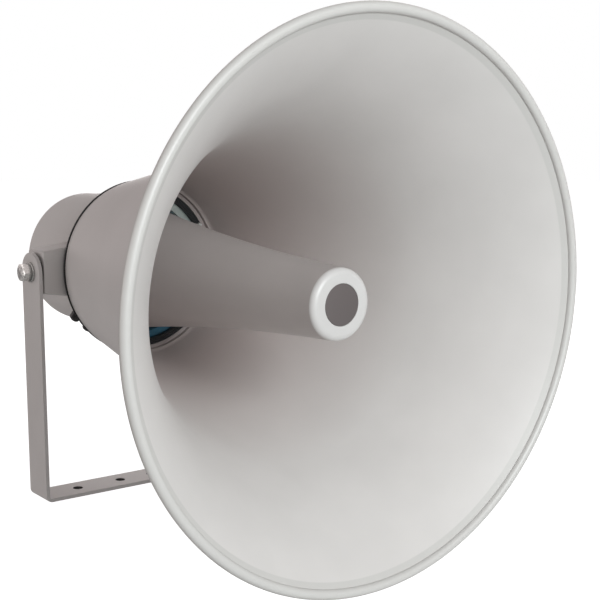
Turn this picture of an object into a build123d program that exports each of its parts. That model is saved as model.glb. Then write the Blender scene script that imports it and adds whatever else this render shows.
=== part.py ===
from build123d import *
import os
from math import cos, exp, hypot, radians, sin, sqrt, tan

# A folded-horn loudspeaker on a U-shaped strap bracket. Sound leaves the compression driver through
# the throat tube, turns back inside the hollow cone, turns again in the rear bowl and leaves between
# the cone and the bell.
#
# Sizes are in millimetres. The horn is modelled about its own axis: a radius from that axis and a
# depth behind the plane of the rim. The last section turns it level and sets it on the bracket's pivots.

# Bell: spun sheet with a rolled rim
rim_radius = 245.0
bell_length = 390.0
sheet = 1.5
bead_radius = 4.6
bead_start = 174.0
bead_turn = 326.0
bead_overlap = 0.2
cone_rate = 0.165
flare_decay = 90.0
collar_step = 2.5
collar_length = 6.0
joggle_length = 2.2
bell_flange_width = 18.0

# Gasket between the bell and the cast rear bowl
gasket_thickness = 2.0
gasket_proud = 0.6
gasket_lip = 1.5

# Rear bowl
bowl_flange_inset = 4.0
bowl_flange_thickness = 2.5
bowl_mouth_step = 3.0
bowl_curve_width = 26.0
bowl_depth = 16.5
bowl_floor = 3.5
bowl_pad_margin = 2.0
bowl_pad_slope = 8.0
bowl_spigot_gap = 0.7
bowl_hub_radius = 21.0
bowl_hub_height = 15.0
bowl_hub_round = 2.0

# Cone
cone_front = 60.0
cone_middle = 200.0
cone_rear_gap = 18.0
cone_front_radius = 32.0
cone_middle_radius = 41.5
cone_rear_radius = 63.0

# Cap on the cone's front, its round plate and its screw
cap_length = 5.5
cap_flat_radius = 26.0
cap_skirt = 8.0
cap_skirt_wall = 2.2
cap_web = 6.0
cap_boss_radius = 9.0
cap_boss_length = 14.0
plate_radius = 18.4
plate_thickness = 1.2
plate_recess = 1.5
plate_edge_gap = 0.2
cap_screw_sink = 0.5
cap_screw_radius = 2.95
cap_screw_head_radius = 5.0
cap_screw_head_height = 4.0
cap_screw_key_depth = 2.5
cap_screw_bite = 10.5

# Throat tube
tube_turn_gap = 14.0
tube_front_bore = 15.5
tube_rear_bore = 9.5
tube_wall = 2.2
tube_hub_radius = 6.0
tube_hub_length = 16.0
tube_fin_length = 14.0
tube_fin_thickness = 2.0
fin_count = 3

# Spider that holds the cone's rear end on the throat tube
spider_gap = 2.0
spider_hub_length = 12.0
spider_hub_wall = 3.6
spider_arm_width = 6.0
spider_arm_depth = 8.0
spider_arm_step = 2.0
spider_foot_depth = 4.5
spider_foot_overlap = 8.0
spider_foot_clearance = 0.1
spider_angles = (90.0, 210.0, 330.0)
spider_screw_length = 9.0

# Driver cover: a casting with a trunnion boss each side
cover_driver_room = 18.5
cover_back_gap = 9.5
cover_flange_width = 9.5
cover_draft = 4.5
cover_wall = 3.5
cover_back_wall = 4.0
cover_corner = 9.0
cover_flange_inset = 1.5
cover_flange_thickness = 4.0
boss_depth = 35.0
boss_root_height = 56.0
boss_end_height = 44.0
boss_corner = 2.5
boss_hole_depth = 28.0
bolt_tip_gap = 3.0

# Screws and nuts round the cover's flange
flange_screw_inset = 4.5
flange_screw_angles = (30.0, 90.0, 150.0, 210.0, 270.0, 330.0)
m4_radius = 2.0
m4_hole_radius = 2.2
m4_head_radius = 3.5
m4_head_height = 2.5
m4_nut_flats = 7.0
m4_nut_height = 3.2
m4_key_depth = 1.2
m4_tail = 1.0

# Compression driver
driver_clamp_width = 25.4
driver_plate_thickness = 12.0
plug_bore_radius = 12.5
plug_radius = 9.0
plug_tip_gap = 1.5
plug_fin_thickness = 1.2
dome_radius = 20.3
dome_height = 4.8
dome_gap = 0.8
dome_wall_step = 0.4
diaphragm_surround = 8.3
diaphragm_thickness = 0.5
diaphragm_ring_thickness = 2.0
diaphragm_edge_gap = 0.4
coil_inset = 0.9
coil_thickness = 0.8
coil_length = 6.2
top_plate_thickness = 6.0
magnet_screw_gap = 0.3
magnet_coil_room = 6.6
magnet_thickness = 18.0
back_plate_thickness = 6.0
pole_gap = 0.6
pole_step = 0.5
top_plate_gap = 0.8
driver_screw_inset = 4.5
driver_screw_angles = (45.0, 135.0, 225.0, 315.0)
m5_radius = 2.5
m5_hole_radius = 2.7
m5_head_radius = 4.2
m5_head_height = 4.0
m5_grip = 8.0
m5_tail = 1.0
m5_key_depth = 2.0

# Line transformer and its terminals
core_stack = 20.0
core_height = 48.0
core_length = 40.0
core_leg = 16.0
core_window = 8.0
core_window_length = 24.0
winding_half_width = 16.0
winding_gap = 0.4
winding_round = 2.0
frame_sheet = 1.5
frame_height = 34.0
frame_foot_length = 12.0
terminal_width = 40.0
terminal_height = 14.0
terminal_depth = 12.0
terminal_count = 3
terminal_wire_radius = 2.0
terminal_well_radius = 2.6
terminal_screw_radius = 2.4
terminal_screw_sink = 2.0

# Cable glands in the cover's lower left side
gland_setback = 39.5
gland_angles = (-137.0, -123.0)
gland_pad_radius = 9.4
gland_flats = 15.0
gland_hex_height = 4.0
gland_thread_radius = 6.0
gland_neck_radius = 5.5
gland_bore = 3.5
gland_nut_flats = 14.0
gland_nut_height = 6.0
gland_nut_round = 1.5
gland_thread_tail = 1.0
plug_head_rim = 1.0
plug_head_height = 1.0
locknut_height = 3.0

# Bracket: one folded strap
bracket_width = 240.0
strap_width = 40.0
strap_thickness = 4.0
strap_bend_radius = 3.0
base_hole_radius = 5.5
base_hole_inner = 20.0
base_hole_outer = 73.0

# Pivot hardware
pivot_angles = (0.0, 180.0)
pivot_hole_radius = 5.5
m10_radius = 4.95
m10_hole_radius = 5.0
m10_flats = 17.0
m10_head_height = 6.4
m10_crown = 0.94
chamfer_angle = 30.0
washer_radius = 10.5
washer_thickness = 2.0
spring_washer_radius = 9.0
spring_washer_thickness = 2.5
spring_washer_slit = 1.6
spring_washer_angle = 20.0
spacer_radius = 16.0
spacer_thickness = 2.9
face_gap = 0.1
slip = 0.1
cut_over = 1.0

# Sizes that follow from the ones above: radii, then depths, then the pivot
diaphragm_radius = dome_radius + diaphragm_surround
driver_radius = diaphragm_radius + driver_clamp_width
cover_rear_radius = driver_radius + cover_driver_room
cover_front_radius = cover_rear_radius + cover_draft
cover_flange_radius = cover_front_radius + cover_flange_width
bowl_flange_radius = cover_flange_radius + cover_flange_inset
collar_radius = bowl_flange_radius + bowl_flange_inset
throat_radius = collar_radius - collar_step
bell_flange_bore = collar_radius - bell_flange_width
gasket_bore = bell_flange_bore - gasket_lip
bowl_mouth_radius = bell_flange_bore - bowl_mouth_step
bowl_deepest_radius = bowl_mouth_radius - bowl_curve_width
bowl_pad_radius = driver_radius + bowl_pad_margin
flange_screw_circle = cover_flange_radius - flange_screw_inset
driver_screw_circle = driver_radius - driver_screw_inset
magnet_radius = driver_screw_circle - m5_head_radius - magnet_screw_gap
coil_radius = dome_radius - coil_inset
magnet_bore = coil_radius + magnet_coil_room
gasket_front = bell_length
bowl_front = gasket_front + gasket_thickness
cover_front = bowl_front + bowl_flange_thickness
driver_front = bowl_front + bowl_depth + bowl_floor
plate_rear = driver_front + driver_plate_thickness
ring_rear = plate_rear + diaphragm_ring_thickness
top_plate_rear = ring_rear + top_plate_thickness
magnet_rear = top_plate_rear + magnet_thickness
back_plate_rear = magnet_rear + back_plate_thickness
core_front = back_plate_rear + frame_sheet
core_rear = core_front + core_length
terminal_rear = core_rear + terminal_depth
cover_rear = terminal_rear + cover_back_gap + cover_back_wall
gland_depth = cover_front + gland_setback
cone_rear = bell_length - cone_rear_gap
spider_front = cone_rear + spider_gap
spider_foot_front = cone_rear - spider_foot_overlap
cap_front = cone_front - cap_length
cap_seat = cap_front + plate_recess
screw_seat = cap_seat + cap_screw_head_height + cap_screw_sink
tube_front = cap_seat + cap_boss_length + tube_turn_gap
pivot_depth = cover_front + boss_depth / 2
pivot_height = rim_radius
arm_inside = bracket_width / 2 - strap_thickness
boss_reach = arm_inside - face_gap - spacer_thickness


def lathe(*outline):
    """Turn a closed outline, drawn in radius and depth, about the horn's axis."""
    return revolve(Plane.XZ * make_face(Curve() + list(outline)), axis=Axis.Z)


def ring(inner, outer, front, rear):
    """A plain turned ring, or a disc when the inner radius is nought."""
    corners = [(inner, front), (outer, front), (outer, rear), (inner, rear)]
    return lathe(Polyline(*corners, close=True))


standing = (Align.CENTER, Align.CENTER, Align.MIN)


def rod(radius, front, rear):
    """A round bar along the horn's axis."""
    return Pos(0, 0, front) * Cylinder(radius, rear - front, align=standing)


def hexagon(flats, front, rear):
    """A hexagonal bar along the horn's axis, given across its flats."""
    return Pos(0, 0, front) * extrude(RegularPolygon(flats / 2, 6, major_radius=False), rear - front)


def beside(radius, angle, depth=0.0):
    """The place at a radius and an angle seen from the mouth, counted from the right, upwards."""
    return Pos(radius * cos(radians(angle)), -radius * sin(radians(angle)), depth)


def outward(angle, depth):
    """A place on the axis whose Z points straight outwards at an angle, at a depth."""
    direction = (cos(radians(angle)), -sin(radians(angle)), 0)
    return Location(Plane(origin=(0, 0, depth), z_dir=direction))


def copies(solid, radius, angles):
    """The same piece at several angles on one circle, turned to face the axis."""
    return [beside(radius, angle) * Rot(0, 0, -angle) * solid for angle in angles]


# Bell

def flare_radius(depth):
    """Inner radius of the bell: a straight taper and an exponential flare towards the rim."""
    wall_start = rim_radius - 2 * bead_radius + bead_overlap
    taper = throat_radius + cone_rate * (bell_length - bead_radius)
    gain = (wall_start - taper) * exp(bead_radius / flare_decay)
    return throat_radius + cone_rate * (bell_length - depth) + gain * exp(-depth / flare_decay)


def flare_point(depth, offset):
    """A point on the bell's section, moved square to the wall by an offset."""
    step = 0.5
    slope = (flare_radius(depth + step) - flare_radius(depth - step)) / (2 * step)
    size = hypot(1, slope)
    return (flare_radius(depth) + offset / size, depth - offset * slope / size)


flare_rear = bell_length - collar_length - joggle_length
flare_steps = 10
flare_depths = [
    bead_radius + (flare_rear - bead_radius) * (step / flare_steps) ** 1.4
    for step in range(flare_steps + 1)
]
inner_flare = Spline(*[flare_point(depth, 0) for depth in flare_depths])
outer_flare = Spline(*[flare_point(depth, sheet) for depth in flare_depths])
collar_front = bell_length - collar_length
collar_bore = collar_radius - sheet
bell_rear_line = Polyline(
    inner_flare @ 1,
    (collar_bore, collar_front),
    (collar_bore, bell_length - sheet),
    (bell_flange_bore, bell_length - sheet),
    (bell_flange_bore, bell_length),
    (collar_radius, bell_length),
    (collar_radius, collar_front + sheet / 2),
    outer_flare @ 1,
)
bell_wall = make_face(
    Curve() + [inner_flare, bell_rear_line, outer_flare, Line(outer_flare @ 0, inner_flare @ 0)]
)
bead_centre = (rim_radius - bead_radius, bead_radius)
bead_outside = CenterArc(bead_centre, bead_radius, bead_start, bead_turn)
bead_inside = CenterArc(bead_centre, bead_radius - sheet, bead_start, bead_turn)
bead = make_face(
    Curve()
    + [
        bead_outside,
        Line(bead_outside @ 1, bead_inside @ 1),
        bead_inside,
        Line(bead_inside @ 0, bead_outside @ 0),
    ]
)
horn_bell = revolve(Plane.XZ * (bell_wall + bead), axis=Axis.Z)
flange_holes = copies(
    rod(m4_hole_radius, bell_length - 2 * sheet, cover_front + 2 * cover_flange_thickness),
    flange_screw_circle,
    flange_screw_angles,
)
horn_bell -= flange_holes

# Gasket

bell_gasket = ring(gasket_bore, collar_radius + gasket_proud, gasket_front, bowl_front)
bell_gasket -= flange_holes

# Throat tube, with a finned hub at its front that takes the cap's screw

tube_rear = driver_front
tube_taper = (tube_front_bore - tube_rear_bore) / (tube_rear - tube_front)


def tube_radius(depth):
    """Outer radius of the throat tube."""
    return tube_front_bore + tube_wall - tube_taper * (depth - tube_front)


throat_tube = lathe(
    Polyline(
        (tube_front_bore, tube_front),
        (tube_radius(tube_front), tube_front),
        (tube_radius(tube_rear), tube_rear),
        (tube_rear_bore, tube_rear),
        close=True,
    )
)
tube_fin = Pos(0, 0, tube_front) * Box(
    tube_front_bore + tube_wall / 2,
    tube_fin_thickness,
    tube_fin_length,
    align=(Align.MIN, Align.CENTER, Align.MIN),
)
throat_tube += rod(tube_hub_radius, tube_front, tube_front + tube_hub_length)
throat_tube += [Rot(0, 0, turn * 360 / fin_count) * tube_fin for turn in range(fin_count)]
throat_tube -= rod(cap_screw_radius, tube_front - cut_over, tube_front + tube_hub_length + cut_over)

# Rear bowl: turns the sound forwards again, and carries the driver, the tube and the cover

bowl_socket = tube_radius(driver_front - bowl_hub_height) + slip
bowl_front_curve = ThreePointArc(
    (bowl_mouth_radius, bowl_front),
    (bowl_deepest_radius, bowl_front + bowl_depth),
    (bowl_hub_radius, driver_front - bowl_hub_height + bowl_hub_round),
)
bowl_outer_radius = cover_front_radius - cover_wall - bowl_spigot_gap
rear_bowl = lathe(
    bowl_front_curve,
    Polyline(
        bowl_front_curve @ 1,
        (bowl_hub_radius - bowl_hub_round, driver_front - bowl_hub_height),
        (bowl_socket, driver_front - bowl_hub_height),
        (bowl_socket, driver_front),
        (bowl_pad_radius, driver_front),
        (bowl_pad_radius + bowl_pad_slope, driver_front - bowl_floor),
        (bowl_outer_radius, cover_front + bowl_flange_thickness),
        (bowl_outer_radius, cover_front),
        (bowl_flange_radius, cover_front),
        (bowl_flange_radius, bowl_front),
        bowl_front_curve @ 0,
    ),
)
rear_bowl -= flange_holes
rear_bowl -= copies(
    rod(m5_radius, driver_front - m5_grip, driver_front + cut_over),
    driver_screw_circle,
    driver_screw_angles,
)

# Hollow cone


def cone_line(offset):
    """The cone's slightly hollow outline, moved inwards by an offset."""
    return Spline(
        (cone_front_radius - offset, cone_front),
        (cone_middle_radius - offset, cone_middle),
        (cone_rear_radius - offset, cone_rear),
    )


cone_outside = cone_line(0)
cone_inside = cone_line(sheet)
reflector_cone = lathe(
    cone_outside,
    Line(cone_outside @ 1, cone_inside @ 1),
    cone_inside,
    Line(cone_inside @ 0, cone_outside @ 0),
)
spider_screw_depth = (spider_foot_front + cone_rear) / 2
cone_screw_hole = rod(m4_hole_radius, cone_rear_radius / 2, 2 * cone_rear_radius)
reflector_cone -= [outward(angle, spider_screw_depth) * cone_screw_hole for angle in spider_angles]

# Cap, its plate and its screw

cap_shoulder_mid = (
    cap_flat_radius + (cone_front_radius - cap_flat_radius) * sin(radians(45)),
    cone_front - cap_length * cos(radians(45)),
)
cap_shoulder = ThreePointArc(
    (cap_flat_radius, cap_front), cap_shoulder_mid, (cone_front_radius, cone_front)
)
cap_skirt_radius = cone_front_radius - sheet - slip
cap_back = cap_seat + cap_web
cone_cap = lathe(
    cap_shoulder,
    Polyline(
        cap_shoulder @ 1,
        (cap_skirt_radius, cone_front),
        (cap_skirt_radius, cone_front + cap_skirt),
        (cap_skirt_radius - cap_skirt_wall, cone_front + cap_skirt),
        (cap_skirt_radius - 2 * cap_skirt_wall, cap_back),
        (cap_boss_radius, cap_back),
        (cap_boss_radius, cap_seat + cap_boss_length),
        (cap_screw_radius + slip, cap_seat + cap_boss_length),
        (cap_screw_radius + slip, screw_seat),
        (cap_screw_head_radius + slip, screw_seat),
        (cap_screw_head_radius + slip, cap_seat),
        (plate_radius + plate_edge_gap, cap_seat),
        (plate_radius + plate_edge_gap, cap_front),
        cap_shoulder @ 0,
    ),
)
cap_plate = ring(0, plate_radius, cap_seat - plate_thickness, cap_seat)
cap_screw_front = screw_seat - cap_screw_head_height
cap_screw_key = hexagon(cap_screw_head_radius, cap_screw_front, cap_screw_front + cap_screw_key_depth)
cap_screw = rod(cap_screw_head_radius, cap_screw_front, screw_seat)
cap_screw += rod(cap_screw_radius - slip / 2, screw_seat, tube_front + cap_screw_bite)
cap_screw -= cap_screw_key

# Spider between the throat tube and the cone's rear end

spider_bore = tube_radius(spider_front) + slip
foot_edge = cone_inside @ (1 - spider_foot_overlap / cone_inside.length)
cone_inner_at_foot = min(foot_edge.X, cone_rear_radius - sheet) - spider_foot_clearance
spider_arm_front = spider_front + spider_arm_step
spider_hub_radius = spider_bore + spider_hub_wall
spider_hub = ring(spider_bore, spider_hub_radius, spider_front, spider_front + spider_hub_length)
spider_arm = Pos(spider_bore + spider_hub_wall / 2, 0, spider_arm_front) * Box(
    cone_inner_at_foot - spider_bore - spider_hub_wall / 2,
    spider_arm_width,
    spider_arm_depth,
    align=(Align.MIN, Align.CENTER, Align.MIN),
)
spider_foot = Pos(cone_inner_at_foot, 0, spider_foot_front) * Box(
    spider_foot_depth,
    spider_arm_width,
    spider_arm_front + spider_arm_depth - spider_foot_front,
    align=(Align.MAX, Align.CENTER, Align.MIN),
)
cone_spider = spider_hub
for angle in spider_angles:
    cone_spider += Rot(0, 0, -angle) * (spider_arm + spider_foot)
spider_screw_hole = rod(
    m4_radius, cone_inner_at_foot - 2 * spider_foot_depth, cone_inner_at_foot + spider_foot_depth
)
cone_spider -= [outward(angle, spider_screw_depth) * spider_screw_hole for angle in spider_angles]
screw_head_seat = cone_rear_radius + slip
spider_screw = rod(m4_radius - slip / 2, screw_head_seat - spider_screw_length, screw_head_seat)
spider_screw += rod(m4_head_radius, screw_head_seat, screw_head_seat + m4_head_height)
spider_screws = [outward(angle, spider_screw_depth) * spider_screw for angle in spider_angles]

# Driver cover

cover_side_rear = cover_rear - cover_corner
corner_arc = ThreePointArc(
    (cover_rear_radius, cover_side_rear),
    (
        cover_rear_radius - cover_corner * (1 - cos(radians(45))),
        cover_rear - cover_corner * (1 - sin(radians(45))),
    ),
    (cover_rear_radius - cover_corner, cover_rear),
)
cover_shell = lathe(
    Polyline(
        (0, cover_front),
        (cover_flange_radius, cover_front),
        (cover_flange_radius, cover_front + cover_flange_thickness),
        (cover_front_radius, cover_front + cover_flange_thickness),
        (cover_rear_radius, cover_side_rear),
    ),
    corner_arc,
    Polyline((cover_rear_radius - cover_corner, cover_rear), (0, cover_rear), (0, cover_front)),
)


def boss(side):
    """A tapered trunnion block on one side of the cover, from inside the wall to its end face."""
    root_reach = cover_rear_radius - cover_wall
    root = Location((side * root_reach, 0, pivot_depth), (0, side * 90, 0))
    end = Location((side * boss_reach, 0, pivot_depth), (0, side * 90, 0))
    sections = [
        root * Rectangle(boss_depth, boss_root_height),
        end * Rectangle(boss_depth, boss_end_height),
    ]
    trunnion = loft(sections)
    half_reach = (boss_reach - root_reach) / 2
    long_edges = trunnion.edges().filter_by(lambda edge: abs((edge @ 1 - edge @ 0).X) > half_reach)
    return fillet(long_edges, boss_corner)


driver_cover = cover_shell + boss(1) + boss(-1)
gland_pad = rod(gland_pad_radius, 0, cover_front_radius)
gland_hole = rod(gland_thread_radius + slip, 0, 2 * cover_front_radius)
for angle in gland_angles:
    driver_cover += outward(angle, gland_depth) * gland_pad
cover_cavity = lathe(
    Polyline(
        (0, cover_front - cut_over),
        (cover_front_radius - cover_wall, cover_front - cut_over),
        (cover_front_radius - cover_wall, cover_front + cover_flange_thickness),
        (cover_rear_radius - cover_wall, cover_side_rear),
        (cover_rear_radius - cover_corner, cover_rear - cover_back_wall),
        (0, cover_rear - cover_back_wall),
        close=True,
    )
)
driver_cover -= cover_cavity
driver_cover -= flange_holes
driver_cover -= [outward(angle, gland_depth) * gland_hole for angle in gland_angles]
boss_hole = rod(m10_hole_radius, boss_reach - boss_hole_depth, boss_reach + cut_over)
driver_cover -= [outward(angle, pivot_depth) * boss_hole for angle in pivot_angles]

# Screws and nuts of the cover's flange

flange_screw_seat = cover_front + cover_flange_thickness
flange_nut_front = bell_length - sheet - m4_nut_height
flange_head_rear = flange_screw_seat + m4_head_height
flange_screw = rod(m4_radius - slip / 2, flange_nut_front - m4_tail, flange_screw_seat)
flange_screw += rod(m4_head_radius, flange_screw_seat, flange_head_rear)
flange_screw -= hexagon(m4_head_radius, flange_head_rear - m4_key_depth, flange_head_rear)
cover_screws = copies(flange_screw, flange_screw_circle, flange_screw_angles)
flange_nut = hexagon(m4_nut_flats, flange_nut_front, bell_length - sheet)
flange_nut -= rod(m4_radius, flange_nut_front - cut_over, bell_length)
cover_nuts = copies(flange_nut, flange_screw_circle, flange_screw_angles)

# Compression driver

dome_sphere = (dome_radius**2 + dome_height**2) / (2 * dome_height)
diaphragm_front = plate_rear + dome_gap
dome_apex = diaphragm_front - dome_height


def dome_depth(radius, shift):
    """Depth of the dome's front face at a radius, moved forwards by a shift."""
    sphere = dome_sphere + shift
    return dome_apex - shift + sphere - sqrt(sphere**2 - radius**2)


driver_holes = copies(
    rod(m5_hole_radius, driver_front - cut_over, top_plate_rear + cut_over),
    driver_screw_circle,
    driver_screw_angles,
)
cavity_radius = dome_radius + dome_gap / 2
cavity_arc = ThreePointArc(
    (plug_bore_radius, dome_depth(plug_bore_radius, dome_gap)),
    ((plug_bore_radius + cavity_radius) / 2, dome_depth((plug_bore_radius + cavity_radius) / 2, dome_gap)),
    (cavity_radius, plate_rear),
)
driver_plate = lathe(
    cavity_arc,
    Polyline(
        cavity_arc @ 1,
        (driver_radius, plate_rear),
        (driver_radius, driver_front),
        (tube_rear_bore, driver_front),
        cavity_arc @ 0,
    ),
)
driver_plate -= driver_holes
plug_face = ThreePointArc(
    (0, dome_depth(0, dome_gap)),
    (plug_radius / 2, dome_depth(plug_radius / 2, dome_gap)),
    (plug_radius, dome_depth(plug_radius, dome_gap)),
)
plug_tip = driver_front + plug_tip_gap
phase_plug = lathe(plug_face, Polyline(plug_face @ 1, (0, plug_tip), plug_face @ 0))
plug_space = lathe(
    Polyline(
        (0, plug_tip),
        (tube_rear_bore - slip, plug_tip),
        (plug_bore_radius - 3 * slip, dome_depth(plug_radius, dome_gap)),
        (0, dome_depth(0, dome_gap)),
        close=True,
    )
)
plug_fin = Pos(plug_tip_gap, 0, driver_front) * Box(
    plug_bore_radius, plug_fin_thickness, driver_plate_thickness, align=(Align.MIN, Align.CENTER, Align.MIN)
)
phase_plug += [(Rot(0, 0, turn * 360 / fin_count) * plug_fin) & plug_space for turn in range(fin_count)]

dome_rear = dome_depth(0, -diaphragm_thickness)
inner_dome_radius = dome_radius - dome_wall_step
dome_outside = ThreePointArc(
    (0, dome_apex),
    (dome_radius / 2, dome_depth(dome_radius / 2, 0)),
    (dome_radius, diaphragm_front),
)
dome_inside = ThreePointArc(
    (0, dome_rear),
    (inner_dome_radius / 2, dome_depth(inner_dome_radius / 2, -diaphragm_thickness)),
    (inner_dome_radius, diaphragm_front + diaphragm_thickness),
)
diaphragm = lathe(
    dome_outside,
    Polyline(
        dome_outside @ 1,
        (diaphragm_radius, diaphragm_front),
        (diaphragm_radius, diaphragm_front + diaphragm_thickness),
        dome_inside @ 1,
    ),
    dome_inside,
    Line(dome_inside @ 0, dome_outside @ 0),
)
coil_front = diaphragm_front + diaphragm_thickness
voice_coil = ring(coil_radius, coil_radius + coil_thickness, coil_front, coil_front + coil_length)
diaphragm_ring = ring(diaphragm_radius + diaphragm_edge_gap, driver_radius, plate_rear, ring_rear)
diaphragm_ring -= driver_holes
top_plate = ring(coil_radius + coil_thickness + top_plate_gap, driver_radius, ring_rear, top_plate_rear)
top_plate -= driver_holes
magnet = ring(magnet_bore, magnet_radius, top_plate_rear, magnet_rear)
back_plate = ring(0, magnet_radius, magnet_rear, back_plate_rear)
back_plate += rod(coil_radius - pole_gap, ring_rear + pole_step, magnet_rear)
driver_head_rear = top_plate_rear + m5_head_height
driver_screw = rod(m5_radius - slip / 2, driver_front - m5_grip + m5_tail, top_plate_rear)
driver_screw += rod(m5_head_radius, top_plate_rear, driver_head_rear)
driver_screw -= hexagon(m5_head_radius, driver_head_rear - m5_key_depth, driver_head_rear)
driver_screws = copies(driver_screw, driver_screw_circle, driver_screw_angles)

# Line transformer: a core of two windows, its winding, the folded frame and the terminals


def block(width, height, front, rear, across=0.0, down=0.0):
    """A rectangular block along the horn's axis, offset sideways and downwards."""
    return Pos(across, down, (front + rear) / 2) * Box(width, height, rear - front)


window_front = core_front + (core_length - core_window_length) / 2
window_rear = window_front + core_window_length
window_offset = (core_leg + core_window) / 2
transformer_core = block(core_stack, core_height, core_front, core_rear)
for side in (-1, 1):
    transformer_core -= block(
        2 * core_stack, core_window, window_front, window_rear, down=side * window_offset
    )
winding_half_height = core_leg / 2 + core_window - winding_gap
transformer_winding = block(
    2 * winding_half_width, 2 * winding_half_height, window_front + winding_gap, window_rear - winding_gap
)
transformer_winding -= block(core_stack + winding_gap, core_leg + winding_gap, window_front, window_rear)
transformer_winding = fillet(
    transformer_winding.edges().filter_by(Axis.Z).group_by(Axis.X)[0], winding_round
)
frame_outer = core_height / 2 + frame_sheet
transformer_frame = block(core_stack, 2 * frame_outer, back_plate_rear, back_plate_rear + frame_height)
transformer_frame -= block(2 * core_stack, core_height, core_front, core_rear)
frame_foot_reach = frame_outer + frame_foot_length
transformer_frame += block(core_stack, 2 * frame_foot_reach, back_plate_rear, core_front)
frame_screw_offset = frame_outer + frame_foot_length / 2
frame_screw_hole = rod(m4_radius, magnet_rear, core_front + cut_over)
frame_screw = rod(m4_radius - slip / 2, magnet_rear + m4_tail, core_front)
frame_screw += rod(m4_head_radius, core_front, core_front + m4_head_height)
frame_screws = [Pos(0, side * frame_screw_offset, 0) * frame_screw for side in (-1, 1)]
frame_screw_holes = [Pos(0, side * frame_screw_offset, 0) * frame_screw_hole for side in (-1, 1)]
transformer_frame -= frame_screw_holes
back_plate -= frame_screw_holes

terminal_pitch = terminal_width / terminal_count
terminal_block = block(terminal_width, terminal_height, core_rear, terminal_rear)
terminal_wire_depth = core_rear + terminal_depth / 3
terminal_wire_hole = Location((0, 0, terminal_wire_depth), (90, 0, 0)) * Cylinder(
    terminal_wire_radius, 2 * terminal_height
)
terminal_well = rod(terminal_well_radius, terminal_wire_depth, terminal_rear + cut_over)
terminal_screw = rod(
    terminal_screw_radius, core_rear + terminal_depth / 2, terminal_rear - terminal_screw_sink
)
terminal_screws = []
for turn in range(terminal_count):
    place = Pos((turn - (terminal_count - 1) / 2) * terminal_pitch, 0, 0)
    terminal_block -= place * terminal_wire_hole
    terminal_block -= place * terminal_well
    terminal_screws.append(place * terminal_screw)

# Cable glands, closed with blind plugs, drawn on the gland's own axis from the horn's axis outwards

gland_seat = cover_front_radius
gland_top = gland_seat + gland_hex_height
gland_neck_top = gland_top + gland_nut_height / 2
gland_end = gland_top + gland_nut_height
locknut_top = sqrt((cover_rear_radius - cover_wall) ** 2 - (gland_flats / sqrt(3)) ** 2)
locknut_low = locknut_top - locknut_height
gland_body = hexagon(gland_flats, gland_seat, gland_top)
gland_body += rod(gland_thread_radius, locknut_low - gland_thread_tail, gland_seat)
gland_body += rod(gland_neck_radius, gland_top, gland_neck_top)
gland_body -= rod(gland_bore, 0, 2 * gland_top)
gland_nut = hexagon(gland_nut_flats, gland_top, gland_end)
gland_nut = fillet(gland_nut.faces().sort_by(Axis.Z)[-1].edges(), gland_nut_round)
gland_nut -= rod(gland_neck_radius + slip, gland_top - cut_over, gland_neck_top + slip)
gland_nut -= rod(gland_bore, gland_top, 2 * gland_top)
gland_plug = rod(gland_bore - slip, gland_seat, gland_end)
gland_plug += rod(gland_bore + plug_head_rim, gland_end, gland_end + plug_head_height)
locknut = hexagon(gland_flats, locknut_low, locknut_top)
locknut -= rod(gland_thread_radius + slip, 0, 2 * gland_top)
gland_bodies = [outward(angle, gland_depth) * gland_body for angle in gland_angles]
gland_nuts = [outward(angle, gland_depth) * gland_nut for angle in gland_angles]
gland_plugs = [outward(angle, gland_depth) * gland_plug for angle in gland_angles]
gland_locknuts = [outward(angle, gland_depth) * locknut for angle in gland_angles]

# Pivot hardware, drawn on the pivot's own axis from the boss outwards

arm_outside = bracket_width / 2
washer_seat = arm_outside + face_gap
spring_seat = washer_seat + washer_thickness
head_seat = spring_seat + spring_washer_thickness
pivot_spacer = rod(spacer_radius, boss_reach, boss_reach + spacer_thickness)
pivot_spacer -= rod(m10_hole_radius, 0, arm_outside)
plain_washer = rod(washer_radius, washer_seat, spring_seat)
plain_washer -= rod(m10_hole_radius, 0, 2 * arm_outside)
spring_washer = rod(spring_washer_radius, spring_seat, head_seat)
spring_washer -= rod(m10_hole_radius, 0, 2 * arm_outside)
spring_washer -= Pos(spring_washer_radius, 0, spring_seat) * Rot(spring_washer_angle, 0, 0) * Box(
    spring_washer_radius * 1.5, spring_washer_slit, 4 * spring_washer_thickness
)
pivot_bolt = rod(m10_radius, boss_reach - boss_hole_depth + bolt_tip_gap, head_seat)
crown_radius = m10_crown * m10_flats / 2
chamfer_spread = m10_head_height / tan(radians(chamfer_angle))
bolt_head = hexagon(m10_flats, head_seat, head_seat + m10_head_height)
bolt_head &= Pos(0, 0, head_seat) * Cone(
    crown_radius + chamfer_spread, crown_radius, m10_head_height, align=standing
)
pivot_bolt += bolt_head
pivot_bolts = [outward(angle, pivot_depth) * pivot_bolt for angle in pivot_angles]
plain_washers = [outward(angle, pivot_depth) * plain_washer for angle in pivot_angles]
spring_washers = [outward(angle, pivot_depth) * spring_washer for angle in pivot_angles]
pivot_spacers = [outward(angle, pivot_depth) * pivot_spacer for angle in pivot_angles]

# Bracket: the strap's section across the front, cut to its outline from the side

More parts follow.
